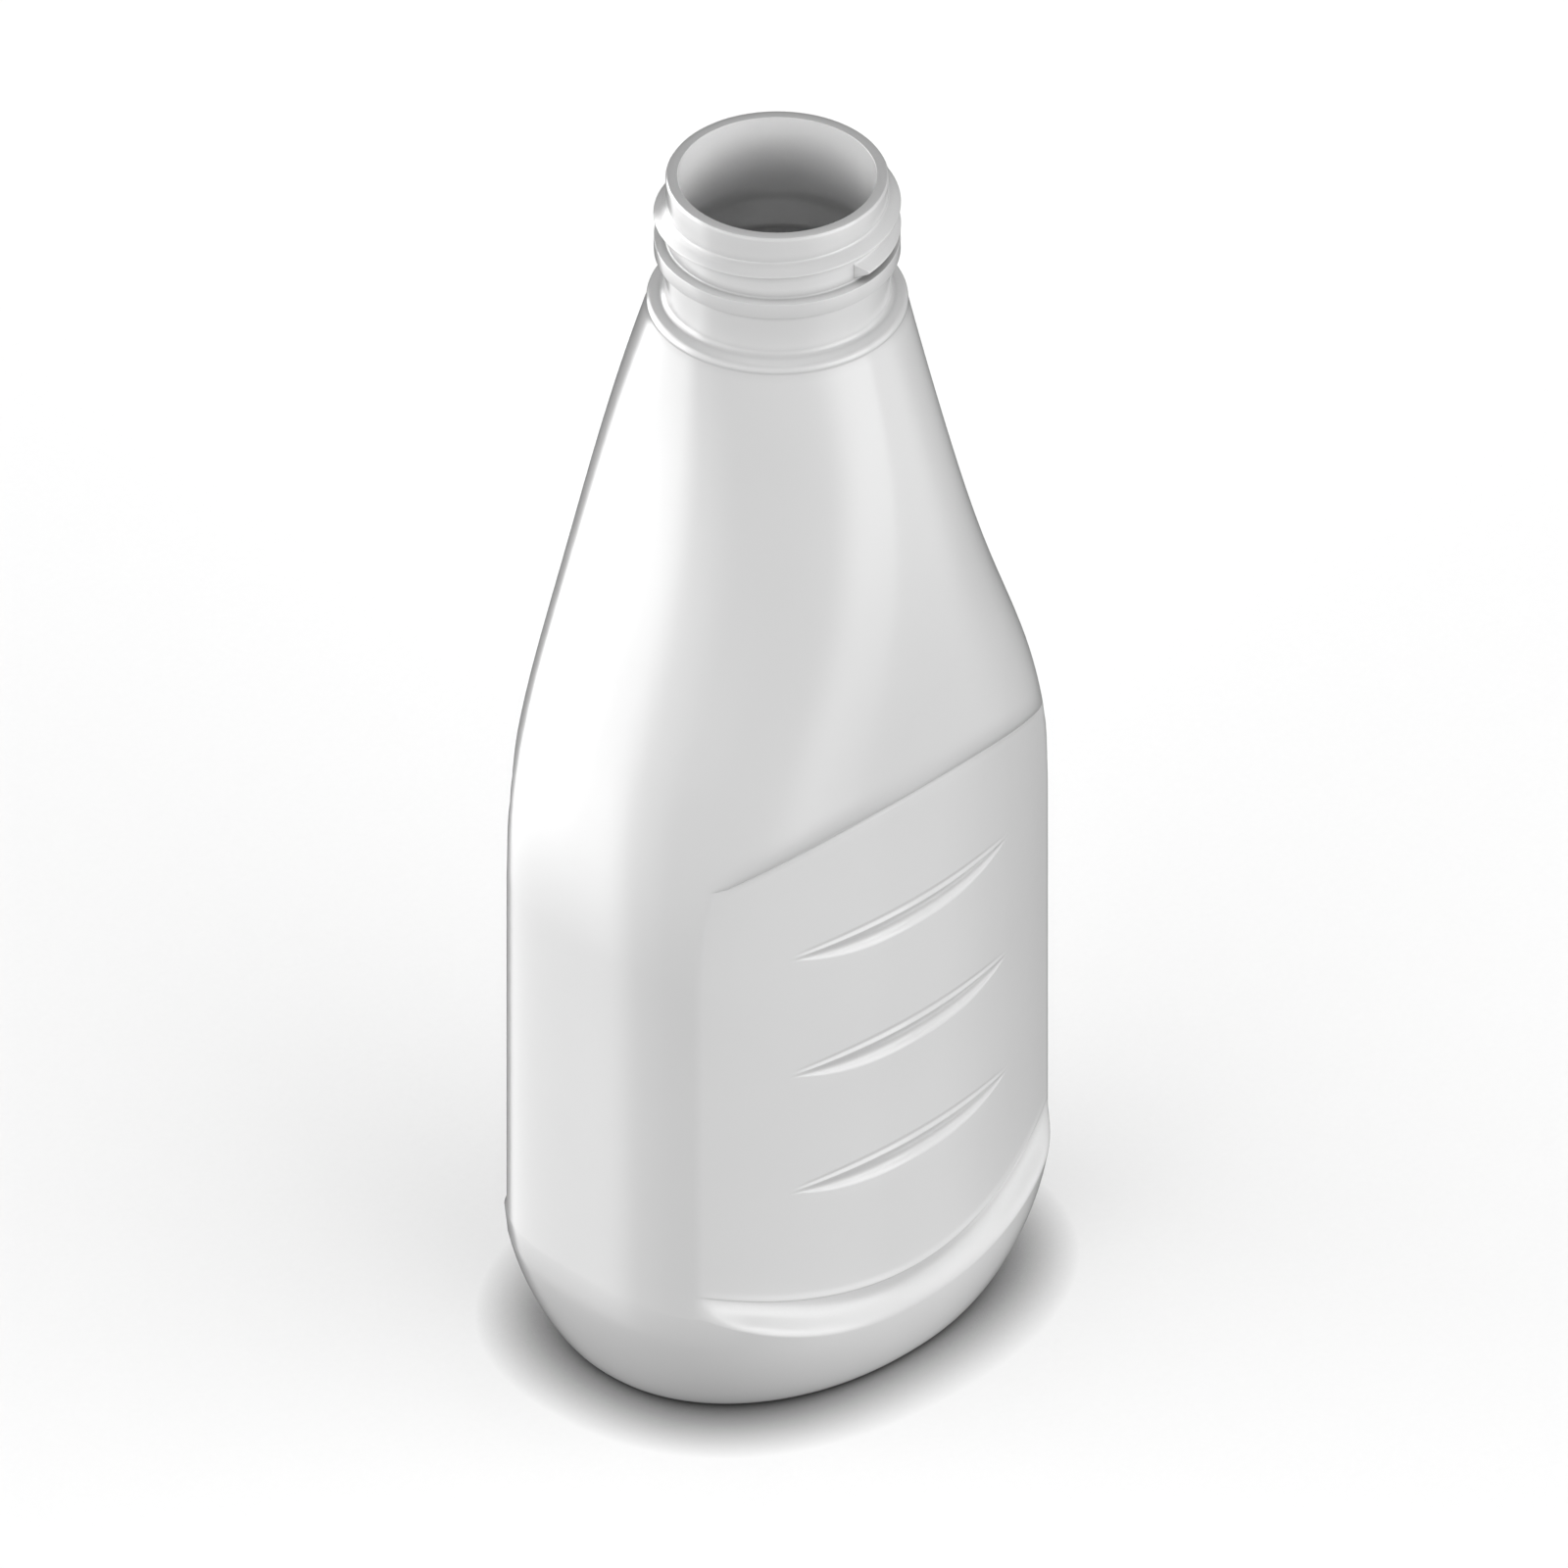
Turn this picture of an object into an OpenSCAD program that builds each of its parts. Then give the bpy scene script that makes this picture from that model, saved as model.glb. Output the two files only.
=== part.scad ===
// Pourable household liquid bottle, blow moulded in one piece with an open
// screw neck. Millimetres. Origin on the foot plane, under the neck axis.
// X runs across the narrow ends, Y across the broad label faces, Z up.

/* [Body] */
// Overall height, from the foot plane to the lip
total_h = 205; // [198:0.5:215]
// Width over the two narrow ends
body_w = 83.4; // [80:0.2:88]
// Depth over the two broad faces, before the label panels are set in
body_d = 61; // [59:0.2:65]
// Squareness of the plan: 2 is an oval, larger values fill the corners
squareness = 3.15; // [2.9:0.05:3.5]
// Wall thickness of the body
wall = 1.1; // [0.9:0.05:1.4]

/* [Heel and base] */
// How far the heel draws in at each narrow end
heel_in_end = 7.2; // [5:0.1:8]
// Height at which the heel starts on the narrow ends
heel_h_end = 20; // [16:0.5:22]
// How far the heel draws in under each broad face
heel_in_face = 4.2; // [3:0.1:5]
// Height at which the heel starts under the broad faces
heel_h_face = 9; // [7:0.5:10]
// Squareness of the foot outline
foot_squareness = 2.1; // [2:0.05:2.6]
// Width of the flat standing ring
foot_land = 3; // [2:0.1:4]
// Height of the hollow in the base, so that only the ring stands
push_up = 3.5; // [2.5:0.1:4.5]
// Thickness of the base
base_t = 1.5; // [1.2:0.1:2]

/* [Shoulder] */
// Height at which the narrow ends begin to lean in
end_lean_z = 82; // [80:0.5:84]
// Length of the upright handle of the end curve, at the body
end_handle_low = 42.3; // [38:0.1:46]
// Length of the handle of the end curve, at the neck
end_handle_high = 61.4; // [56:0.1:66]
// Lean of the end curve where it meets the neck rim
end_lean = 0.09; // [0.06:0.01:0.14]
// Height at which the broad faces begin to lean in
face_lean_z = 100.5; // [98:0.5:104]
// Length of the upright handle of the face curve, at the body
face_handle_low = 31; // [28:0.1:34]
// Length of the handle of the face curve, at the neck
face_handle_high = 31.7; // [29:0.1:34]
// Lean of the face curve where it meets the neck rim
face_lean = 0.34; // [0.28:0.01:0.4]

/* [Label panel] */
// Radius of the bowed panel let into each broad face
panel_r = 75; // [72:0.5:80]
// How far the panel lies under the broad face at its middle
panel_in = 0.8; // [0.5:0.05:1]
// Softness of the panel's upright edges, where it meets the corners
panel_soft = 0.2; // [0.1:0.05:0.5]
// Height of the panel's top crease at its middle
crease_z = 106.1; // [105:0.1:107]
// How far the crease falls towards each end of the panel
crease_drop = 5.6; // [4:0.1:6.5]
// Distance from the middle to each end of the crease
crease_half = 33.5; // [31:0.5:35]
// Height over which the body rolls in down to the crease
crease_roll = 6; // [5:0.1:7]

/* [Finger scoops] */
// Height of the top scoop's tips
scoop_top_z = 84.1; // [83:0.1:85]
// Distance between scoops
scoop_pitch = 21.5; // [20.5:0.1:22]
// Distance from the middle to each tip
scoop_half = 22.5; // [20:0.5:25]
// Rise of the scoop's sharp upper edge above its tips
scoop_up = 1.1; // [0.8:0.1:1.6]
// Drop of the scoop's soft lower edge below its tips
scoop_down = 2.9; // [2.4:0.1:3.4]
// Depth of a scoop at its middle
scoop_deep = 1.7; // [1.2:0.1:2.2]
// Number of leaf-shaped scoops on each panel
scoop_count = 3; // [2:1:3]

/* [Belt groove] */
// Height of the groove's sharp upper edge at the middle of the face
belt_z = 19.1; // [18.5:0.1:20]
// How far that edge climbs towards the corners
belt_rise = 7.7; // [6.5:0.1:8.5]
// Distance from the middle to the groove's tips
belt_half = 37; // [35:0.5:38]
// Height of the groove at the middle
belt_h = 7.5; // [6.5:0.1:8]
// Depth of the groove under the panel
belt_deep = 1.7; // [1.2:0.1:2.2]

/* [Neck] */
// Radius of the mouth
bore_r = 15.04; // [14.8:0.02:15.2]
// Radius of the neck wall between the threads
neck_r = 16.88; // [16.8:0.02:17]
// Length of the straight mouth bore below the lip
bore_len = 14; // [13:0.1:14.5]
// Bevel on the lip's outer edge, across the lip
lip_bevel = 0.28; // [0.2:0.02:0.4]
// Radius over the bead that stops the cap's band
bead_r = 18.64; // [18.4:0.02:18.8]
// Depth of the bead's top face below the lip
bead_top = 10.95; // [10.9:0.05:11.2]
// Height of the bead
bead_h = 2.6; // [2.2:0.1:2.8]
// Radius of the plain neck under the bead
under_r = 17.2; // [17.1:0.02:17.4]
// Depth of the neck rim below the lip, where the shoulder begins
rim_depth = 23; // [22.8:0.1:24]
// Radius of the neck rim
rim_r = 19.7; // [19.5:0.05:19.9]
// Radius of the fillet between the plain neck and its rim
neck_fillet = 1; // [0.8:0.05:1.2]
// Radius that rounds the rim over
rim_round = 1; // [0.8:0.05:1.1]
// Height of the fillet's foot above the rim's widest line
ledge_rise = 1.6; // [1.5:0.05:1.8]

/* [Thread] */
// Radius over the thread crests
thread_r = 18.7; // [18.5:0.02:18.8]
// Rise of the thread in one turn
thread_pitch = 4; // [3.9:0.02:4.1]
// Number of turns from the blunt start to the blunt end
thread_turns = 1.5; // [1.25:0.05:1.6]
// Depth of the crest below the lip at the start
thread_low = 9.45; // [9.3:0.05:9.5]
// Fall of the gentle upper flank
flank_up = 1.4; // [1.2:0.05:1.5]
// Fall of the steep lower flank
flank_down = 0.8; // [0.7:0.05:0.9]
// Width of the crest
crest_land = 0.24; // [0.2:0.02:0.3]
// Direction of the start, counted round from the +X end: 270 faces a broad side
thread_start = 270; // [0:5:355]

/* [Fineness] */
// Facets round the outside of the body
seg_out = 72; // [60:4:72]
// Facets round the inside of the body
seg_in = 48; // [44:4:52]
// Facets round one turn of the thread
seg_thread = 40; // [32:4:40]
// Fineness of the true round neck surfaces
neck_fn = 96; // [72:12:120]

/* [Hidden] */
hdpe = [0.94, 0.94, 0.93];

half_w = body_w / 2;
half_d = body_d / 2;
rim_z = total_h - rim_depth;
panel_apex = half_d - panel_in; // middle of the panel

round_z = 95;          // the plan begins to turn round above this height
square_rate = 1;       // how evenly it turns round up the shoulder
heel_bow_end = 1.55;   // fullness of the heel curve at the ends
heel_bow_face = 2.5;   // fullness of the heel curve at the faces
corner_pull = 2.1;     // how far the facets are turned to meet the corners
flat_end = 0.2;        // sine of the angle below which no panel cut is made
near_axis = 0.001;     // sine of the angle taken as lying on the X axis
scoop_gap = 0.2;       // spacing kept between scoop lines at their tips
belt_gap = 0.7;        // spacing kept between groove lines at their tips
deepest = 0.26;        // where a groove is deepest, from its upper edge down
bite = 0.5;            // how far the thread sinks into the neck

// Lines of the base hollow: share of the ring's radius, share of its rise
base_mid = [0.85, 0.46];
base_deep = [0.55, 0.86];
base_inside = [0.6, 0.86];

// Where the lines across each feature lie, from its edge at 0 to 1
scoop_fine = [0, 0.14, deepest, 0.48, 0.74, 1];
scoop_plain = [0, deepest, 1];
belt_fine = [0, 0.14, deepest, 0.48, 0.74, 1];
belt_plain = [0, deepest, 0.6, 1];
roll_fine = [0, 0.15, 0.4, 0.7, 1];
roll_plain = [0, 0.4, 1];
heel_fine = 7;         // lines up the heel, outside
heel_plain = 5;        // lines up the heel, inside
shoulder_fine = 12;    // lines up the shoulder, outside
shoulder_plain = 9;    // lines up the shoulder, inside

// Neck section
bevel_slope = 1.6;     // fall of the lip's bevel for each millimetre across
arc_steps = 6;         // facets in a small arc of the neck section
fillet_to = 260;       // angle at which the neck's fillet runs into the ledge
rim_from = 70;         // angle at which the rim's round begins
flare_h = 2.4;         // height over which the bore flares out
skirt_h = 1;           // depth of the thin skirt buried in the body's wall
skirt_lean = 0.2;      // how far the skirt's outside leans in
skirt_top = 0.1;       // how far the neck overlaps the wall each way at the rim
skirt_w = 0.45;        // width of the skirt's lower edge

// Curves
function clamp01(v) = max(0, min(1, v));
function bezier(p, t) =
    p[0] * pow(1 - t, 3) + 3 * p[1] * t * pow(1 - t, 2)
    + 3 * p[2] * t * t * (1 - t) + p[3] * pow(t, 3);
// position along a rising curve at which it reaches height z, by halving
function reach(p, z, lo = 0, hi = 1, n = 26) =
    n == 0 ? (lo + hi) / 2
    : bezier(p, (lo + hi) / 2) < z ? reach(p, z, (lo + hi) / 2, hi, n - 1)
    : reach(p, z, lo, (lo + hi) / 2, n - 1);
function lean_in(z, z0, r0, low, high, slope) =
    z <= z0 ? r0
    : z >= rim_z ? rim_r
    : bezier([r0, r0, rim_r + slope * high, rim_r],
             reach([z0, z0 + low, rim_z - high, rim_z], z));
function heel(z, h, in, bow) =
    z >= h ? 0
    : in * (1 - pow(1 - pow(clamp01(1 - z / h), bow), 1 / bow));

// Plan of the body at height z
function plan_a(z) =
    lean_in(z, end_lean_z, half_w, end_handle_low, end_handle_high, end_lean)
    - heel(z, heel_h_end, heel_in_end, heel_bow_end);
function plan_b(z) =
    lean_in(z, face_lean_z, half_d, face_handle_low, face_handle_high, face_lean)
    - heel(z, heel_h_face, heel_in_face, heel_bow_face);
function plan_n(z) =
    z < heel_h_end
    ? foot_squareness + (squareness - foot_squareness) * clamp01(z / heel_h_end)
    : 2 + (squareness - 2)
      * pow(clamp01((rim_z - z) / (rim_z - round_z)), square_rate);
function plan_r(z, ang, off) =
    let (n = plan_n(z))
    pow(pow(abs(cos(ang)) / (plan_a(z) - off), n)
        + pow(abs(sin(ang)) / (plan_b(z) - off), n), -1 / n);

// The label panel, and the cut it makes in the body face
function panel_y(x, off) = panel_apex - off - x * x / (2 * (panel_r - off));
function soft_min(p, q) =
    let (h = clamp01((1 + (q - p) / panel_soft) / 2))
    q * (1 - h) + p * h - panel_soft * h * (1 - h);
function leaf(x, half) = max(0, 1 - pow(x / half, 2));

// A station is one line round the body: its height at the middle of a face,
// its height at and beyond a distance from the middle, that distance, how
// much of the panel cut it takes, and how deep it lies in a scoop.
function station(z_mid, z_side, half, cut, deep) = [z_mid, z_side, half, cut, deep];
function level(z, cut = 0) = station(z, z, half_w, cut, 0);
function st_z(s, x) = s[1] + (s[0] - s[1]) * leaf(min(abs(x), s[2]), s[2]);

// Height depends on the distance from the middle, and that on the height, so
// the point is found in two passes.
function st_point(s, ang, off, lift) =
    let (
        z1 = st_z(s, plan_r(s[1], ang, off) * cos(ang)),
        x1 = plan_r(z1, ang, off) * cos(ang),
        z = st_z(s, x1),
        zb = z - lift * clamp01(1 - z / heel_h_end),
        r = plan_r(zb, ang, off),
        x = r * cos(ang),
        y = r * abs(sin(ang)),
        across = abs(sin(ang)),
        y_cut = across < flat_end ? y : soft_min(y, panel_y(x, off)),
        y2 = y - (y - y_cut) * s[3] - s[4] * leaf(x, s[2])
    )
    [x, across < near_axis ? 0 : sign(sin(ang)) * y2, z];

// Depth of a groove across its height: rounded over at the upper edge and
// quickly down, then a long soft rise to the lower edge
function dip(v) =
    v <= deepest ? pow(sin(90 * v / deepest), 2)
    : (1 + cos(180 * (v - deepest) / (1 - deepest))) / 2;

function scoop_stations(zc, steps, deep) =
    [for (i = [len(steps) - 1 : -1 : 0])
        let (v = steps[i])
        station(zc + scoop_up - (scoop_up + scoop_down) * v,
                zc + scoop_gap * len(steps) * (1 / 2 - v),
                scoop_half, 1, deep * dip(v))];

function belt_stations(steps, deep) =
    [for (i = [len(steps) - 1 : -1 : 0])
        let (v = steps[i])
        station(belt_z - belt_h * v,
                belt_z + belt_rise - belt_gap * len(steps) * v,
                belt_half, clamp01(1 - v * v), deep * dip(v))];

// The roll above the crease is an arc that turns in to meet the panel
function roll_cut(v) = 1 - sqrt(1 - pow(1 - v, 2));
function crease_stations(steps) =
    [for (v = steps)
        station(crease_z + crease_roll * v,
                crease_z - crease_drop + crease_roll * v,
                crease_half, v == 0 ? 1 : roll_cut(v), 0)];

// The heel lines climb higher at the narrow ends than under the faces
function heel_stations(n, from) =
    [for (i = [0 : n - 1])
        let (t = 1 - cos(90 * i / n))
        station(from + (heel_h_face - from) * t, from + (heel_h_end - from) * t,
                belt_half, 0, 0)];

function shoulder_stations(n) =
    let (z0 = crease_z + crease_roll)
    [for (i = [1 : n]) level(z0 + (rim_z - z0) * i / n)];

function body_stations(fine, from) =
    let (scoop_steps = fine ? scoop_fine : scoop_plain)
    concat(
        heel_stations(fine ? heel_fine : heel_plain, from),
        belt_stations(fine ? belt_fine : belt_plain, belt_deep),
        [for (k = [scoop_count - 1 : -1 : 0]) each concat(
            level_between(k),
            scoop_stations(scoop_top_z - k * scoop_pitch, scoop_steps, scoop_deep))],
        [level((scoop_top_z + crease_z) / 2, 1)],
        crease_stations(fine ? roll_fine : roll_plain),
        shoulder_stations(fine ? shoulder_fine : shoulder_plain)
    );
function level_between(k) =
    [level(scoop_top_z - (k + 1 / 2) * scoop_pitch - scoop_down / 2, 1)];

// Directions of the facets, drawn to the corners so that one edge runs there
function facet(j, seg) = let (t = 360 * j / seg) t - corner_pull * sin(2 * t);
function rings(stations, seg, off, lift) =
    [for (s = stations) [for (j = [0 : seg - 1]) st_point(s, facet(j, seg), off, lift)]];

// Faces between rings i and i + 1, seen from outside
function skin(first, count, seg, flip) =
    [for (i = [0 : count - 2]) for (j = [0 : seg - 1])
        let (
            p = first + i * seg + j,
            q = first + i * seg + (j + 1) % seg
        )
        each flip ? [[p, q, q + seg], [p, q + seg, p + seg]]
                  : [[p, q + seg, q], [p, p + seg, q + seg]]];
function fan(first, seg, hub, flip) =
    [for (j = [0 : seg - 1])
        flip ? [first + j, hub, first + (j + 1) % seg]
             : [first + j, first + (j + 1) % seg, hub]];

// A ring of the base hollow: the foot outline drawn in by the standing ring,
// then taken at a share of its radius and of the hollow's rise
function base_ring(seg, share, from, off) =
    [for (j = [0 : seg - 1])
        let (ang = facet(j, seg), r = (plan_r(0, ang, off) - foot_land) * share[0])
        [r * cos(ang), r * sin(ang), from + push_up * share[1]]];

// The body as one closed shell: hollow of the base, outside, top edge, inside
module body() {
    out_st = body_stations(true, 0);
    in_st = body_stations(false, base_t);
    outer = concat([
        base_ring(seg_out, base_deep, 0, 0),
        base_ring(seg_out, base_mid, 0, 0),
        base_ring(seg_out, [1, 0], 0, 0)
    ], rings(out_st, seg_out, 0, 0));
    inner = concat(
        [base_ring(seg_in, base_inside, base_t, wall)],
        rings(in_st, seg_in, wall, base_t));
    n_out = len(outer) * seg_out;
    n_in = len(inner) * seg_in;
    pts = concat([for (r = outer) each r], [for (r = inner) each r],
                 [[0, 0, push_up], [0, 0, base_t + push_up]]);
    polyhedron(pts, concat(
        skin(0, len(outer), seg_out, false),
        fan(0, seg_out, n_out + n_in, false),
        skin(n_out, len(inner), seg_in, true),
        fan(n_out, seg_in, n_out + n_in + 1, true),
        rim_faces(n_out - seg_out, seg_out, n_out + n_in - seg_in, seg_in)));
}

// The flat top edge between an outer ring of a points and an inner one of b
function rim_faces(first_a, a, first_b, b) =
    concat(
        [for (i = [0 : a - 1])
            [first_a + i, first_b + round_down(i, a, b), first_a + (i + 1) % a]],
        [for (j = [0 : b - 1])
            let (i = round_up(j, a, b))
            [first_a + i % a, first_b + j, first_b + (j + 1) % b]]);
function round_down(i, a, b) = floor((i + 1 / 2) * b / a + 1 / 2) % b;
function round_up(j, a, b) = ceil((j + 1 / 2) * a / b - 1 / 2);

// Neck, a true round solid: lip, straight bore, bead, plain neck and rim.
// Its lower edge is a thin wedge that ends inside the body's wall.
function arc_points(c, r, from, to, n) =
    [for (i = [0 : n]) let (t = from + (to - from) * i / n) c + r * [cos(t), sin(t)]];

module neck_ring() {
    lip_drop = lip_bevel * bevel_slope;
    shelf_r = under_r + neck_fillet;
    shelf_z = rim_z + ledge_rise + neck_fillet;
    inner_r = under_r - wall;
    bore_z = total_h - bore_len;
    bead_z = total_h - bead_top;
    rim_c = [rim_r - rim_round + skirt_top, rim_z + rim_round / 3];
    rotate_extrude($fn = neck_fn)
        polygon(concat(
            [[bore_r, total_h], [neck_r - lip_bevel, total_h],
             [neck_r, total_h - lip_drop], [neck_r, bead_z],
             [bead_r, bead_z], [bead_r, bead_z - bead_h], [under_r, bead_z - bead_h]],
            arc_points([shelf_r, shelf_z], neck_fillet, 180, fillet_to, arc_steps),
            arc_points(rim_c, rim_round, rim_from, 0, arc_steps),
            [[rim_r + skirt_top, rim_z], [rim_r - skirt_lean, rim_z - skirt_h],
             [rim_r - skirt_lean - skirt_w, rim_z - skirt_h],
             [rim_r - wall - skirt_top, rim_z],
             [inner_r, shelf_z], [inner_r, bore_z - flare_h], [bore_r, bore_z]]));
}

// One helical ridge of buttress form, with blunt ends, sunk into the neck
module thread_ridge() {
    n = round(thread_turns * seg_thread);
    sink = bite / (thread_r - neck_r);
    z_low = total_h - thread_low;
    form = [
        [neck_r - bite, crest_land / 2 + flank_up * (1 + sink)],
        [thread_r, crest_land / 2],
        [thread_r, -crest_land / 2],
        [neck_r - bite, -crest_land / 2 - flank_down * (1 + sink)]
    ];
    k = len(form);
    pts = [for (i = [0 : n]) for (f = form)
        let (t = i / seg_thread, ang = thread_start + 360 * t)
        [f[0] * cos(ang), f[0] * sin(ang), z_low + thread_pitch * t + f[1]]];
    polyhedron(pts, concat(
        [for (i = [0 : n - 1]) for (j = [0 : k - 1])
            let (p = i * k + j, q = i * k + (j + 1) % k)
            each [[p, q + k, q], [p, p + k, q + k]]],
        [[0, 1, 2], [0, 2, 3]],
        [[n * k, n * k + 2, n * k + 1], [n * k, n * k + 3, n * k + 2]]));
}

module bottle() {
    color(hdpe) {
        body();
        neck_ring();
        thread_ridge();
    }
}

bottle();
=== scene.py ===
# Looks of the bottle: one seamless moulded skin and its screw thread, round
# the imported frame. Sizes are in millimetres, and MM scales them to metres.
import math

import bpy
import numpy as np
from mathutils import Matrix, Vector


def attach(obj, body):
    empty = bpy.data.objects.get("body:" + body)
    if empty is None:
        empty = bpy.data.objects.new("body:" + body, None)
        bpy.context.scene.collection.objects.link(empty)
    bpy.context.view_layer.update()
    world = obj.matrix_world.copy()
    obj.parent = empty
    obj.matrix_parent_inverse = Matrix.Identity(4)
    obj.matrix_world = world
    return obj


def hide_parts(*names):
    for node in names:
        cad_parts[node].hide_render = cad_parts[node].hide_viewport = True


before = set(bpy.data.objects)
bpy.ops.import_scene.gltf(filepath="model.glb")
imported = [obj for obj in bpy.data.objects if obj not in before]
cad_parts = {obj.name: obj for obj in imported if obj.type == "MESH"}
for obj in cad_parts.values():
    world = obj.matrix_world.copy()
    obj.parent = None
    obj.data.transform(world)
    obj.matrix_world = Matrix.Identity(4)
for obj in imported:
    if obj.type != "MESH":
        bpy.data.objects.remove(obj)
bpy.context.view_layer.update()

MM = 0.001

# Body
TOTAL_H = 205.0
HALF_W = 41.7
HALF_D = 30.5
WALL = 1.1
# exponents of the plan's rounded rectangle: at the foot, up the sides and,
# above ROUNDING_Z, gradually the circle of the neck
FOOT_SQUARE = 2.1
SQUARE = 3.15
CIRCLE = 2
ROUNDING_Z = 95.0
# height, draw-in and fullness of the heel under the narrow ends and the faces
HEEL_END = (20.0, 7.2, 1.55)
HEEL_FACE = (14.0, 4.2, 1.9)
# width of the standing ring, rise of the hollow in it, thickness of the base
LAND = 3.0
PUSH_UP = 3.5
BASE_T = 1.5
# shoulder curve: start height, its two handles, slope where it meets the rim
END_LEAN = (82.0, 42.3, 61.4, 0.09)
FACE_LEAN = (100.5, 31.0, 31.7, 0.34)

# Label panel: radius of its bow, its middle, and the softness of its sides
PANEL_R = 75.0
PANEL_APEX = HALF_D - 0.8
SIDE_JOIN = 0.25
# within this sine of the narrow ends no panel is cut
NO_PANEL = 0.2

# Crease over the panel: height, fall to the sides, half width, height of roll
CREASE_Z = 106.1
CREASE_DROP = 5.6
CREASE_HALF = 33.5
CREASE_ROLL = 6.0
# the fine line under it: millimetres below the crease, and into the panel
CREASE_LINE = ((1.1, 0.0), (0.85, 0.012), (0.65, 0.04), (0.45, 0.055),
               (0.3, 0.04), (0.18, 0.02), (0.08, 0.03))

# Finger scoops: heights, half width, reach up and down from there, depth
SCOOPS = (41.1, 62.6, 84.1)
SCOOP_HALF = 21.8
SCOOP_UP = 0.9
SCOOP_DOWN = 2.9
SCOOP_DEEP = 0.66
# at the tips: height of the crisp edge, of the lip's foot, and their spread
SCOOP_TIP = 0.37
LIP_TIP = 0.4
TIP_SPREAD = 0.6
# share of the height where it is deepest, where it turns out, and how crisp
SCOOP_SECTION = (0.6, 0.5, 0.5)
# millimetres above the edge, and into the panel: the edge is a fine lip
SCOOP_LIP = ((1.75, 0.0), (1.57, 0.004), (1.43, 0.018), (1.3, 0.042),
             (1.16, 0.07), (1.03, 0.095), (0.92, 0.105), (0.81, 0.098),
             (0.68, 0.075), (0.55, 0.042), (0.43, 0.0), (0.3, -0.036),
             (0.2, -0.056), (0.1, -0.064), (0.03, -0.06), (-0.02, -0.045))

# Crescent groove: height, rise to the sides, half width, height, depth
BELT_Z = 19.1
BELT_RISE = 7.7
BELT_HALF = 37.0
BELT_H = 7.5
BELT_DEEP = 0.7
# the crisp edge lies a little lower, and the groove narrows to its tips
BELT_INSET = 0.6
BELT_TIP_H = 4.0
BELT_SECTION = (0.45, 0.4, 0.4)
BELT_LIP = ((1.7, 0.0), (1.45, -0.003), (1.2, -0.014), (0.95, -0.037),
            (0.7, -0.075), (0.5, -0.11), (0.3, -0.138), (0.15, -0.15),
            (0.06, -0.145), (0.0, -0.125))

# Neck
RIM_R = 19.7
RIM_Z = 182.0
BORE_R = 15.04
NECK_R = 16.88
UNDER_R = 17.2
BEAD_R = 18.64
BEAD_LOW = TOTAL_H - 13.55
BEAD_HIGH = TOTAL_H - 10.95
THREAD_R = 18.7
PITCH = 4.0
TURNS = 1.5
THREAD_LOW = 9.45
# the flare below the bore: where it begins, and its height
FLARE_Z = 192.6
FLARE_H = 4.4

# Fineness: points round a line, and shares of a groove's height with a line
SEG = 232
STEPS = (0.015, 0.04, 0.07, 0.11, 0.16, 0.22, 0.29, 0.36, 0.43, 0.5, 0.56,
         0.62, 0.68, 0.735, 0.79, 0.835, 0.875, 0.91, 0.94, 0.965, 0.985, 1.0)
ROLL_STEPS = (0.0, 0.012, 0.03, 0.06, 0.1, 0.15, 0.21, 0.28, 0.36, 0.45,
              0.55, 0.66, 0.78, 0.9, 1.0)
HEEL_ROWS = 16
PANEL_ROWS = 7
SHOULDER_ROWS = 44
# inside, where little is seen, one line in so many is kept
INSIDE_STEP = 4


def clamp01(v):
    return np.clip(v, 0.0, 1.0)


def lean_table(z0, low, high, slope, r0):
    """Heights and half widths along one side, from upright to the rim."""
    t = np.linspace(0, 1, 3001)

    def bez(p):
        return (p[0] * (1 - t) ** 3 + 3 * p[1] * t * (1 - t) ** 2
                + 3 * p[2] * t * t * (1 - t) + p[3] * t ** 3)
    heights = bez([z0, z0 + low, RIM_Z - high, RIM_Z])
    return heights, bez([r0, r0, RIM_R + slope * high, RIM_R])


TAB_END = lean_table(*END_LEAN, HALF_W)
TAB_FACE = lean_table(*FACE_LEAN, HALF_D)


def heel(z, h, inset, bow):
    return inset * (1 - (1 - clamp01(1 - z / h) ** bow) ** (1 / bow))


def plan_r(z, ang, off):
    """Radius of the body without its panels, at heights and angles."""
    a = np.interp(z, *TAB_END) - heel(z, *HEEL_END) - off
    b = np.interp(z, *TAB_FACE) - heel(z, *HEEL_FACE) - off
    rounding = clamp01((RIM_Z - z) / (RIM_Z - ROUNDING_Z))
    up = CIRCLE + (SQUARE - CIRCLE) * rounding
    low = FOOT_SQUARE + (SQUARE - FOOT_SQUARE) * clamp01(z / HEEL_END[0])
    n = np.where(z < HEEL_END[0], low, up)
    return ((np.abs(np.cos(ang)) / a) ** n + (np.abs(np.sin(ang)) / b) ** n) ** (-1 / n)


def leaf(x, half, power=2.0):
    return np.maximum(0.0, 1 - np.abs(x / half) ** power)


# angles of the points, drawn a little towards the corners
ANG = np.arange(SEG) * 2 * math.pi / SEG
ANG = ANG - math.radians(2.1) * np.sin(2 * ANG)


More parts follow.
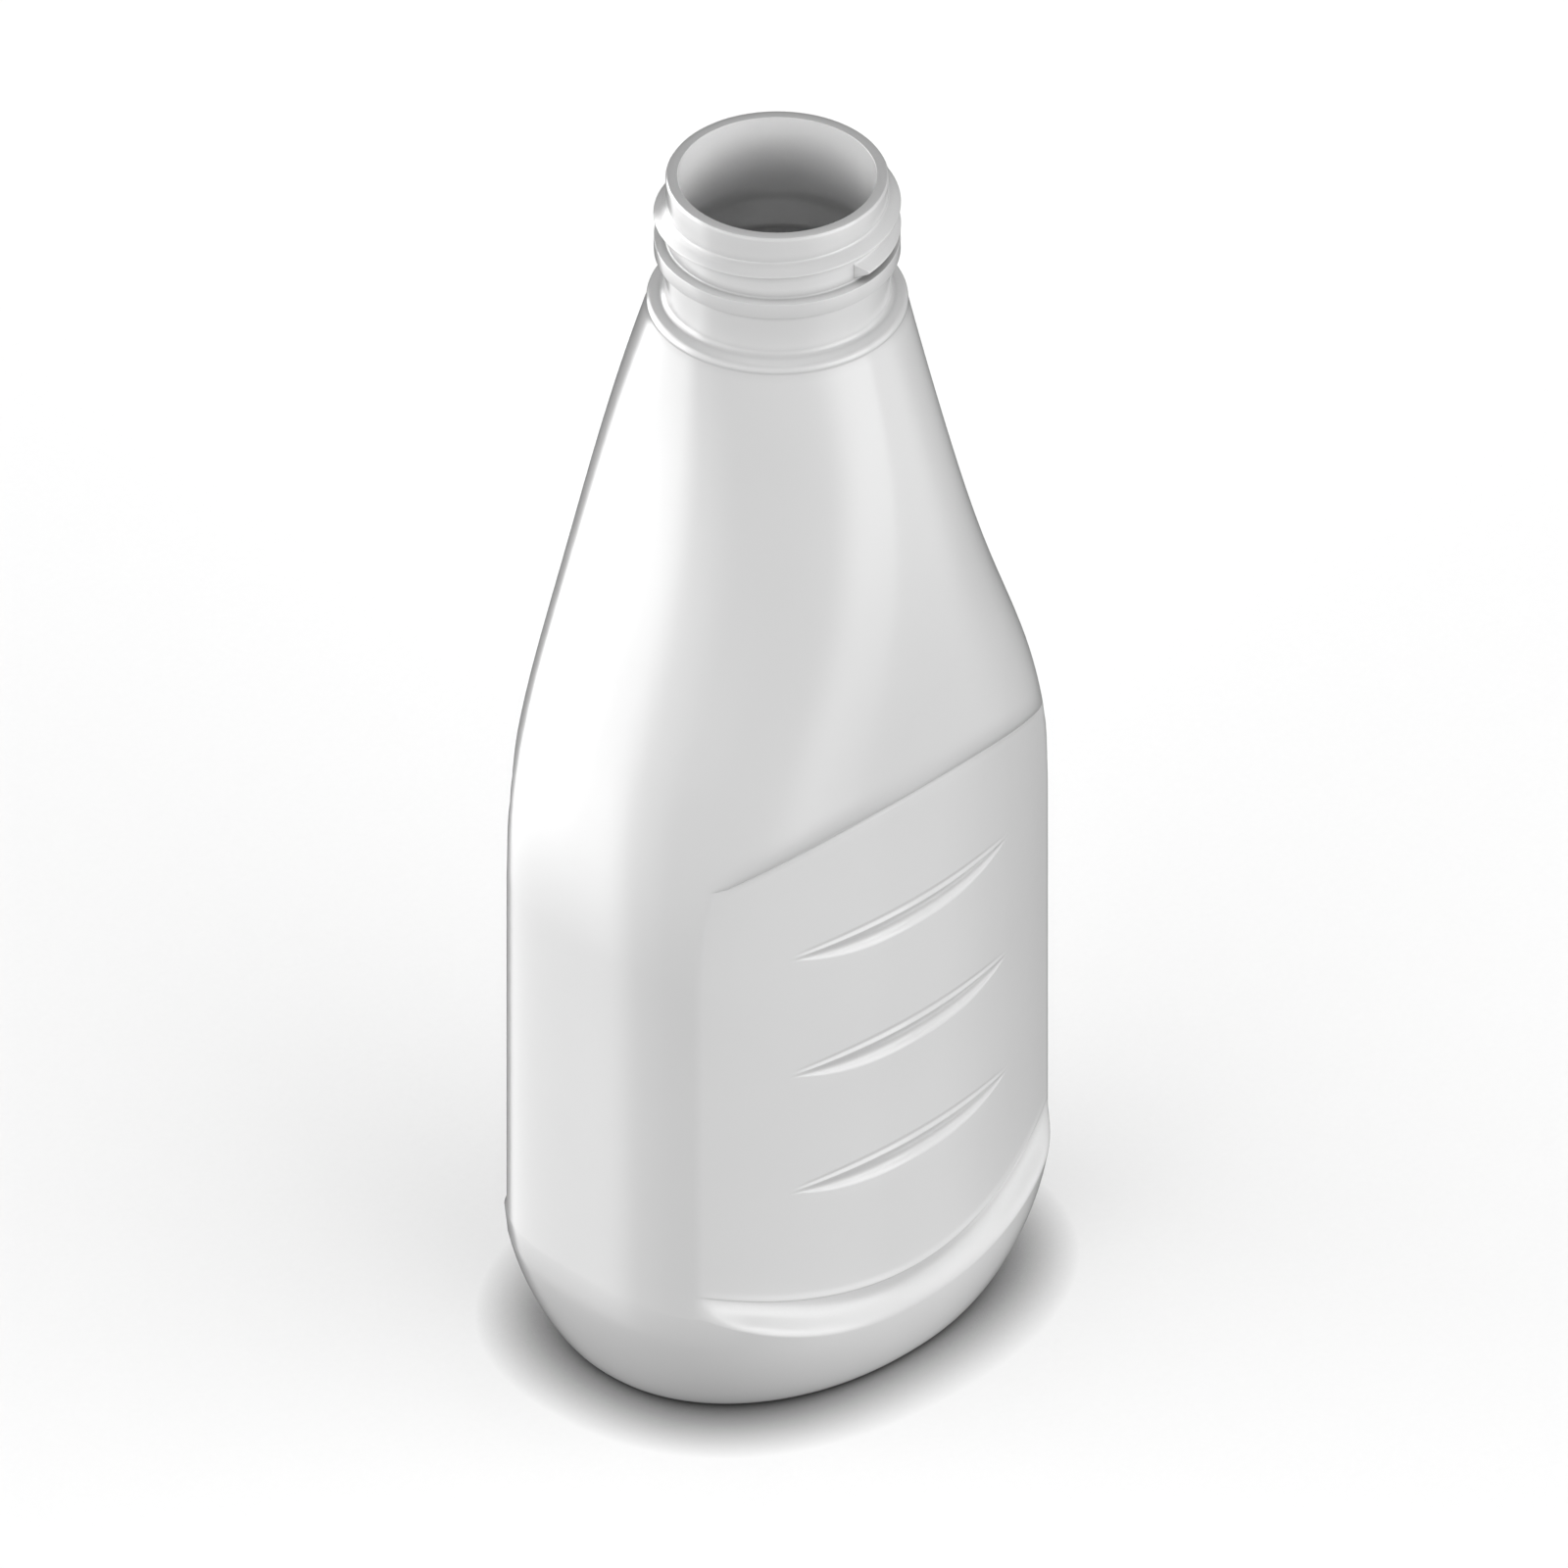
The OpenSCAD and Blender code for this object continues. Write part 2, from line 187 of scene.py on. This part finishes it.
def line(mid, side, half, cut=0.0, deep=0.0, off=0.0, lift=0.0, fade=1.0, full=2.0):
    """One line of points round the body: its heights at the middle of a face
    and at the sides, the share of the panel cut, and the depth in a groove.
    The inside is off further in, and its heel is lifted."""
    def z_at(x):
        return side + (mid - side) * leaf(np.minimum(np.abs(x), half), half, full)
    z = z_at(plan_r(np.full(SEG, side), ANG, off) * np.cos(ANG))
    for _ in range(3):
        z = z_at(plan_r(z, ANG, off) * np.cos(ANG))
    r = plan_r(z - lift * clamp01(1 - z / HEEL_END[0]), ANG, off)
    sine = np.abs(np.sin(ANG))
    x, y = r * np.cos(ANG), r * sine
    flat = PANEL_APEX - off - x * x / (2 * (PANEL_R - off))
    h = clamp01((1 + (flat - y) / SIDE_JOIN) / 2)
    soft = flat * (1 - h) + y * h - SIDE_JOIN * h * (1 - h)
    y2 = y - (y - np.where(sine < NO_PANEL, y, soft)) * cut
    y2 = y2 - deep * leaf(x, half) ** fade
    y2 = np.where(sine < 1e-6, 0.0, y2) * np.sign(np.sin(ANG))
    return np.stack([x, y2, z], 1)


def dip(v, deepest, knee, crisp):
    """Depth of a groove, as a share, from its crisp upper edge at v = 0 to its
    soft lower edge at 1: an overhung wall, then one that turns out past a knee."""
    if v < deepest:
        turn = math.sin(math.pi / 2 * v / deepest)
        return crisp * turn + (1 - crisp) * turn * turn
    w = (v - deepest) / (1 - deepest)
    return 1 - w * w / knee if w < knee else (1 - w) ** 2 / (1 - knee)


def scoop_lines(zc, off, lift):
    out = []
    edge = zc + SCOOP_UP
    for v in STEPS[::-1]:
        out.append(line(edge - (SCOOP_UP + SCOOP_DOWN) * v, zc + SCOOP_TIP - TIP_SPREAD * v, SCOOP_HALF,
                        1.0, SCOOP_DEEP * dip(v, *SCOOP_SECTION), off, lift, fade=0.8, full=2 + v))
    for up, deep in SCOOP_LIP[::-1]:
        out.append(line(edge + up, zc + LIP_TIP + TIP_SPREAD * up, SCOOP_HALF,
                        1.0, deep, off, lift, fade=0.4))
    return out


def belt_lines(off, lift):
    out = []
    edge = BELT_Z - BELT_INSET
    for v in STEPS[::-1]:
        out.append(line(edge - (BELT_H - BELT_INSET) * v, edge + BELT_RISE - BELT_TIP_H * v, BELT_HALF,
                        (1 - v * v) ** 2, BELT_DEEP * dip(v, *BELT_SECTION), off, lift))
    for up, deep in BELT_LIP[::-1]:
        out.append(line(edge + up, edge + BELT_RISE + up, BELT_HALF, 1.0, deep, off, lift, fade=0.4))
    return out


def crease_lines(off, lift):
    """The fine line, then the roll that ends the panel."""
    out = []
    for drop, deep in CREASE_LINE:
        out.append(line(CREASE_Z - drop, CREASE_Z - CREASE_DROP - drop, CREASE_HALF,
                        1.0, deep, off, lift, fade=0.3))
    for v in ROLL_STEPS:
        cut = 1 - math.sqrt(1 - (1 - v) ** 2)
        out.append(line(CREASE_Z + CREASE_ROLL * v, CREASE_Z - CREASE_DROP + CREASE_ROLL * v,
                        CREASE_HALF, cut, 0.0, off, lift))
    return out


def shoulder_lines(off, lift):
    """Lines arched like the crease, which soon turn level."""
    out = []
    z0 = CREASE_Z + CREASE_ROLL
    for i in range(1, SHOULDER_ROWS + 1):
        t = i / SHOULDER_ROWS
        z = z0 + (RIM_Z - z0) * t
        out.append(line(z, z - CREASE_DROP * max(0.0, 1 - 2.2 * t) ** 2, CREASE_HALF, 0.0, 0.0, off, lift))
    return out


def body_lines(start, off=0.0, lift=0.0):
    """All lines up the body, from height start to the rim."""
    out = []
    under_belt = BELT_Z - BELT_H - BELT_INSET
    for i in range(HEEL_ROWS):
        t = 1 - math.cos(math.pi / 2 * i / HEEL_ROWS)
        out.append(line(start + (under_belt - start) * t, start + (HEEL_END[0] - start) * t,
                        BELT_HALF, 0.0, 0.0, off, lift))
    out += belt_lines(off, lift)

    over_belt, under_scoop, over_scoop, under_crease = 1.5, 0.5, 2.4, 2.2
    low = BELT_Z + over_belt
    top = SCOOPS[0] - SCOOP_DOWN - under_scoop
    for i in range(1, PANEL_ROWS):
        t = i / PANEL_ROWS
        out.append(line(low + (top - low) * t, (low + BELT_RISE) * (1 - t) + top * t,
                        BELT_HALF, 1.0, 0.0, off, lift))

    panel_top = CREASE_Z - CREASE_DROP - under_crease
    ends = [zc - SCOOP_DOWN - under_scoop for zc in SCOOPS[1:]] + [panel_top]
    for zc, end in zip(SCOOPS, ends):
        out += scoop_lines(zc, off, lift)
        low = zc + SCOOP_UP + over_scoop
        for t in (0.0, 0.25, 0.5, 0.75, 1.0):
            z = low + (end - low) * t
            out.append(line(z, z, HALF_W, 1.0, 0.0, off, lift))

    arch = CREASE_Z - 1.3
    for t in (0.25, 0.5, 0.75):
        out.append(line(panel_top * (1 - t) + arch * t, panel_top * (1 - t) + (arch - CREASE_DROP) * t,
                        CREASE_HALF, 1.0, 0.0, off, lift))
    return out + crease_lines(off, lift) + shoulder_lines(off, lift)


def arc(cx, cz, r, a0, a1, n):
    t = np.radians(np.linspace(a0, a1, n + 1))
    return [(cx + r * math.cos(v), cz + r * math.sin(v)) for v in t]


def neck_profile():
    """Radius and height, up the outside of the neck and down its inside."""
    fine, fillet, bend = 0.12, 0.3, 1.0
    out = [(RIM_R + 0.04, RIM_Z - 0.25)]
    out += arc(RIM_R - 0.9, RIM_Z + 1 / 3, bend, -18, 70, 12)
    out += arc(UNDER_R + bend, RIM_Z + 2.6, bend, 260, 180, 12)
    out += [(UNDER_R, 188.0), (UNDER_R, BEAD_LOW - 0.2)]
    out += arc(UNDER_R + 0.15, BEAD_LOW - 0.15, 0.15, 180, 90, 4)
    out += arc(BEAD_R - fine, BEAD_LOW + fine, fine, -90, 0, 5)
    out += arc(BEAD_R - fine, BEAD_HIGH - fine, fine, 0, 90, 5)
    out += arc(NECK_R + fillet, BEAD_HIGH + fillet, fillet, 270, 180, 6)
    out += [(NECK_R, z) for z in (197.0, 200.0, 202.5, TOTAL_H - 0.6)]
    # bevelled lip
    out += [(NECK_R - inward, TOTAL_H - below) for inward, below in
            ((0.02, 0.45), (0.07, 0.34), (0.2, 0.1), (0.25, 0.03), (0.32, 0.0))]
    out += [(BORE_R + 0.5, TOTAL_H), (BORE_R + 0.14, TOTAL_H)]
    out += arc(BORE_R + fine, TOTAL_H - fine, fine, 90, 180, 5)
    out += [(BORE_R, z) for z in (201.0, 196.0, FLARE_Z)]
    wide = UNDER_R - WALL
    for i in range(1, 13):
        t = i / 12
        out.append((BORE_R + (wide - BORE_R) * t * t * (3 - 2 * t), FLARE_Z - FLARE_H * t))
    return out + [(wide, 186.5), (wide + 0.05, 184.8), (wide + 0.5, 183.6), (RIM_R - WALL - 0.6, 182.7)]


def round_line(r, z):
    return np.stack([r * np.cos(ANG), r * np.sin(ANG), np.full(SEG, z)], 1)


def base_line(share, z, off=0.0):
    r = (plan_r(np.zeros(SEG), ANG, off) - LAND) * share
    return np.stack([r * np.cos(ANG), r * np.sin(ANG), np.full(SEG, z)], 1)


def push(t):
    return PUSH_UP * (1 - (1 - t) ** 2.2)


def mesh_object(name, points, faces, flat=0):
    """An object, smooth but for its last few faces."""
    me = bpy.data.meshes.new(name)
    me.from_pydata(points, [], faces)
    me.validate()
    count = len(me.polygons)
    me.polygons.foreach_set("use_smooth", [True] * (count - flat) + [False] * flat)
    me.update()
    ob = bpy.data.objects.new(name, me)
    bpy.context.scene.collection.objects.link(ob)
    return ob


def skin(name, rows, low_z, high_z):
    """Closed surface over rows of points, with a middle point at each end."""
    pts = np.concatenate(rows + [np.array([[0, 0, low_z], [0, 0, high_z]])]) * MM
    i = np.arange(len(rows) - 1)[:, None] * SEG
    j = np.arange(SEG)[None, :]
    k = (j + 1) % SEG
    faces = np.stack([i + j, i + k, i + SEG + k, i + SEG + j], -1).reshape(-1, 4).tolist()
    hub = len(rows) * SEG
    last = hub - SEG
    faces += [[(a + 1) % SEG, a, hub] for a in range(SEG)]
    faces += [[last + a, last + (a + 1) % SEG, hub + 1] for a in range(SEG)]
    return mesh_object(name, pts.tolist(), faces)


def skin_rows():
    """Lines from the middle of the base, round the lip and back down inside."""
    rows = [base_line(0.12, PUSH_UP), base_line(0.3, PUSH_UP * 0.985)]
    rows += [base_line(s, push(1 - s)) for s in (0.5, 0.68, 0.82, 0.92, 0.98, 1.0)]
    # the last body line makes way for the rim's own round
    rows += body_lines(0.0)[:-1]
    rows += [round_line(r, z) for r, z in neck_profile()]
    rows += body_lines(BASE_T, WALL, BASE_T)[::-1][::INSIDE_STEP]
    rows += [base_line(s, BASE_T + push(1 - s), WALL) for s in (0.9, 0.7, 0.5, 0.3, 0.12)]
    return rows


def thread_section():
    """Buttress section: radius, and height from the middle of the crest."""
    root, crest = NECK_R, THREAD_R
    h = crest - root
    up, down, land = 1.4, 0.8, 0.12
    top, foot = up + land, -down - land
    return np.array([
        (root - 0.12, top + 0.34), (root + 0.012, top + 0.16), (root + 0.07, top),
        (root + 0.2, up * (1 - 0.2 / h) + land - 0.01), (root + 0.9, up * (1 - 0.9 / h) + land),
        (crest - 0.16, up * (0.16 / h) + land), (crest - 0.07, land + 0.03),
        (crest - 0.02, land - 0.04), (crest, 0.0), (crest - 0.02, -land + 0.03),
        (crest - 0.08, -land - 0.02), (root + 0.9, -down * (1 - 0.9 / h) - land),
        (root + 0.16, -down * (1 - 0.16 / h) - land + 0.01), (root + 0.05, foot + 0.01),
        (root + 0.008, foot - 0.08), (root - 0.1, foot - 0.2)])


def thread():
    """Right-hand thread with blunt ends that lean back a little."""
    per_turn, blunt = 180, 8
    start, datum, end_lean = math.radians(-92), math.radians(-90), math.radians(5)
    prof = thread_section()
    k = len(prof)
    n = round(TURNS * per_turn)
    lean = np.clip((prof[:, 0] - NECK_R) / (THREAD_R - NECK_R), 0, 1) * end_lean
    pts = []
    for i in range(n + 1):
        near = max(0.0, 1 - i / blunt) - max(0.0, 1 - (n - i) / blunt)
        ang = start + 2 * math.pi * i / per_turn + lean * near
        turn = (ang - datum) / (2 * math.pi)
        z = TOTAL_H - THREAD_LOW + PITCH * turn + prof[:, 1]
        pts.append(np.stack([prof[:, 0] * np.cos(ang), prof[:, 0] * np.sin(ang), z], 1))
    faces = []
    for i in range(n):
        for j in range(k):
            p, q = i * k + j, i * k + (j + 1) % k
            faces.append([p, p + k, q + k, q])
    faces.append(list(range(k)))
    faces.append([n * k + j for j in range(k)][::-1])
    return mesh_object("neck_thread", (np.concatenate(pts) * MM).tolist(), faces, flat=2)


body = skin("bottle_skin", skin_rows(), PUSH_UP, BASE_T + PUSH_UP)
ridge = thread()


def node(tree, kind, **values):
    """A new node, with its inputs or its settings by name."""
    n = tree.nodes.new(kind)
    for key, value in values.items():
        if key in n.inputs:
            n.inputs[key].default_value = value
        else:
            setattr(n, key, value)
    return n


def grey(v):
    return (v, v, v, 1)


def moulded_white():
    """White gloss plastic: faint clouding, orange peel, fine grain, and painted shade in fine hollows."""
    mat = bpy.data.materials.new("hdpe_white")
    mat.use_nodes = True
    tree = mat.node_tree
    link = tree.links.new
    bsdf = tree.nodes["Principled BSDF"]
    where = tree.nodes.new("ShaderNodeTexCoord").outputs["Object"]
    cloud = node(tree, "ShaderNodeTexNoise", Scale=22.0, Detail=3.0)
    peel = node(tree, "ShaderNodeTexNoise", Scale=420.0, Detail=2.0)
    grain = node(tree, "ShaderNodeTexNoise", Scale=2600.0, Detail=2.0)
    for n in (cloud, peel, grain):
        link(where, n.inputs["Vector"])

    tint = node(tree, "ShaderNodeValToRGB")
    dark, pale = tint.color_ramp.elements
    dark.position, dark.color = 0.3, grey(0.80)
    pale.position, pale.color = 0.7, grey(0.83)
    link(cloud.outputs["Fac"], tint.inputs["Fac"])
    # painted shade: ambient occlusion darkens the base colour in fine hollows, such as the thread's root
    painted_hollow_shade = node(tree, "ShaderNodeAmbientOcclusion", Distance=0.0016, samples=8)
    link(tint.outputs["Color"], painted_hollow_shade.inputs["Color"])
    link(painted_hollow_shade.outputs["Color"], bsdf.inputs["Base Color"])

    rough = node(tree, "ShaderNodeMapRange")
    rough.inputs["To Min"].default_value = 0.12
    rough.inputs["To Max"].default_value = 0.20
    link(peel.outputs["Fac"], rough.inputs["Value"])
    link(rough.outputs["Result"], bsdf.inputs["Roughness"])

    b1 = node(tree, "ShaderNodeBump", Strength=0.05, Distance=0.0002)
    b2 = node(tree, "ShaderNodeBump", Strength=0.04, Distance=0.00004)
    link(peel.outputs["Fac"], b1.inputs["Height"])
    link(grain.outputs["Fac"], b2.inputs["Height"])
    link(b1.outputs["Normal"], b2.inputs["Normal"])
    link(b2.outputs["Normal"], bsdf.inputs["Normal"])
    bsdf.inputs["IOR"].default_value = 1.7
    return mat


white = moulded_white()
for piece in (body, ridge):
    piece.data.materials.append(white)
    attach(piece, "root")
    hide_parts("bottle")


def floor_plane():
    """Pale floor with a painted contact shadow: its colour darkens within some millimetres of the foot."""
    s = 3.0
    ob = mesh_object("floor", [(-s, -s, 0), (s, -s, 0), (s, s, 0), (-s, s, 0)], [(0, 1, 2, 3)], flat=1)
    ob.location.z = -0.00002
    mat = bpy.data.materials.new("floor_pale")
    mat.use_nodes = True
    tree = mat.node_tree
    link = tree.links.new
    bsdf = tree.nodes["Principled BSDF"]
    bsdf.inputs["Roughness"].default_value = 0.9
    bsdf.inputs["Specular IOR Level"].default_value = 0.1
    where = tree.nodes.new("ShaderNodeTexCoord").outputs["Object"]
    noise = node(tree, "ShaderNodeTexNoise", Scale=900.0, Detail=2.0)
    tint = node(tree, "ShaderNodeValToRGB")
    tint.color_ramp.elements[0].color = grey(0.79)
    tint.color_ramp.elements[1].color = grey(0.81)
    link(where, noise.inputs["Vector"])
    link(noise.outputs["Fac"], tint.inputs["Fac"])
    # painted contact shadow: ambient occlusion, raised to a power, multiplies the floor's colour near the
    # foot
    near = node(tree, "ShaderNodeAmbientOcclusion", Distance=0.011)
    fade = node(tree, "ShaderNodeMath", operation="POWER")
    fade.inputs[1].default_value = 1.3
    painted_shadow_mix = node(tree, "ShaderNodeMix", data_type="RGBA", blend_type="MULTIPLY")
    painted_shadow_mix.inputs["Factor"].default_value = 1.0
    # a Mix node's colour sockets share their names with the others'
    colour_a, colour_b, colour_out = painted_shadow_mix.inputs[6], painted_shadow_mix.inputs[7], painted_shadow_mix.outputs[2]
    link(near.outputs["AO"], fade.inputs[0])
    link(tint.outputs["Color"], colour_a)
    link(fade.outputs[0], colour_b)
    link(colour_out, bsdf.inputs["Base Color"])
    ob.data.materials.append(mat)
    ob.visible_glossy = False
    ob.visible_diffuse = False
    return ob


floor = floor_plane()


def studio(felt, seen):
    """Surroundings of soft panels, each a patch of azimuth and elevation with
    soft edges: felt lights the surfaces, and seen is what they mirror."""
    world = bpy.data.worlds.new("studio")
    bpy.context.scene.world = world
    world.use_nodes = True
    tree = world.node_tree
    link = tree.links.new
    back = tree.nodes["Background"]
    sep = tree.nodes.new("ShaderNodeSeparateXYZ")
    link(tree.nodes.new("ShaderNodeTexCoord").outputs["Generated"], sep.inputs[0])

    def math_node(op, *ins):
        n = tree.nodes.new("ShaderNodeMath")
        n.operation = op
        for k, v in enumerate(ins):
            if isinstance(v, (int, float)):
                n.inputs[k].default_value = v
            else:
                link(v, n.inputs[k])
        return n.outputs[0]

    def step(v, lo, hi, a=0.0, b=1.0):
        n = tree.nodes.new("ShaderNodeMapRange")
        n.interpolation_type = "SMOOTHSTEP"
        link(v, n.inputs["Value"])
        n.inputs["From Min"].default_value = lo
        n.inputs["From Max"].default_value = hi
        n.inputs["To Min"].default_value = a
        n.inputs["To Max"].default_value = b
        return n.outputs["Result"]

    az = math_node("MULTIPLY", math_node("ARCTAN2", sep.outputs[1], sep.outputs[0]), 180 / math.pi)
    el = math_node("MULTIPLY", math_node("ARCSINE", sep.outputs[2]), 180 / math.pi)

    def total(panels):
        out = None
        for power, az0, az1, az2, az3, el0, el1, el2, el3 in panels:
            part = math_node("MULTIPLY", step(el, el0, el1), step(el, el2, el3, power, 0.0))
            if az0 is not None:
                around = math_node("MULTIPLY", step(az, az0, az1), step(az, az2, az3, 1.0, 0.0))
                part = math_node("MULTIPLY", part, around)
            out = part if out is None else math_node("ADD", out, part)
        return out

    mirror = tree.nodes.new("ShaderNodeLightPath").outputs["Is Glossy Ray"]
    plain = math_node("SUBTRACT", 1.0, mirror)
    link(math_node("ADD", math_node("MULTIPLY", plain, total(felt)),
                   math_node("MULTIPLY", mirror, total(seen))), back.inputs["Strength"])
    back.inputs["Color"].default_value = grey(1)


# power, then where each soft edge starts and ends: azimuth twice, elevation
# twice, in degrees
ALL = (None, None, None, None)
FELT = [(6.0, -125, -100, -45, 0, 4, 10, 18, 30),
        (4.8, 100, 125, 190, 200, 4, 10, 18, 30),
        (5.6, -200, -190, -170, -140, 4, 10, 18, 30),
        (0.24, *ALL, -100, -95, -30, 0),
        (0.18, *ALL, 25, 50, 100, 101)]
SEEN = [(0.80, -200, -190, -40, -10, -60, -10, 20, 60),
        (0.80, 78, 90, 190, 200, -60, -10, 20, 60),
        (4.6, 78, 90, 138, 156, -52, -5, 20, 60),
        (1.4, 80, 92, 150, 182, -52, -5, 20, 60),
        (1.8, -112, -78, -57, -54.5, -46, -6, 20, 50),
        (0.4, -57, -52, -40, -20, -50, -10, 20, 50)]
studio(FELT, SEEN)


def lamp(name, kind, energy, place):
    data = bpy.data.lights.new(name, kind)
    data.energy = energy
    ob = bpy.data.objects.new(name, data)
    bpy.context.scene.collection.objects.link(ob)
    ob.location = place
    return ob


# the overhead light that whitens the floor reaches the floor alone
only_floor = bpy.data.collections.new("only_floor")
only_floor.objects.link(floor)
sky = lamp("floor_sky", "SUN", 2.35, (0, 0, 1))
sky.data.angle = math.radians(150)
sky.light_linking.receiver_collection = only_floor
sky.light_linking.blocker_collection = only_floor

# daylight that the thin walls let into the hollow body
glow = lamp("inner_glow", "POINT", 0.0007, (0, 0, 0.166))
glow.data.specular_factor = 0.0
glow.data.shadow_soft_size = 0.008

# the photo's view: its three axes are equally foreshortened
PHOTO_PX, PX_PER_MM = 1600, 6.76
VIEW_MIDDLE = Vector((31.5, 30.05, 61.6))
FORWARD = 30.8 * math.sqrt(3)
toward = Vector((-1, -1, 1)).normalized()
cam = bpy.data.cameras.new("view")
cam.type = "ORTHO"
cam.ortho_scale = PHOTO_PX / PX_PER_MM * MM
cam.clip_start = 0.01
cam.clip_end = 20
cam_ob = bpy.data.objects.new("view", cam)
bpy.context.scene.collection.objects.link(cam_ob)
cam_ob.location = VIEW_MIDDLE * MM + toward * (FORWARD * MM + 1.2)
cam_ob.rotation_euler = (math.atan(math.sqrt(2)), 0, math.radians(-45))
bpy.context.scene.camera = cam_ob
bpy.context.scene.view_settings.view_transform = "Standard"
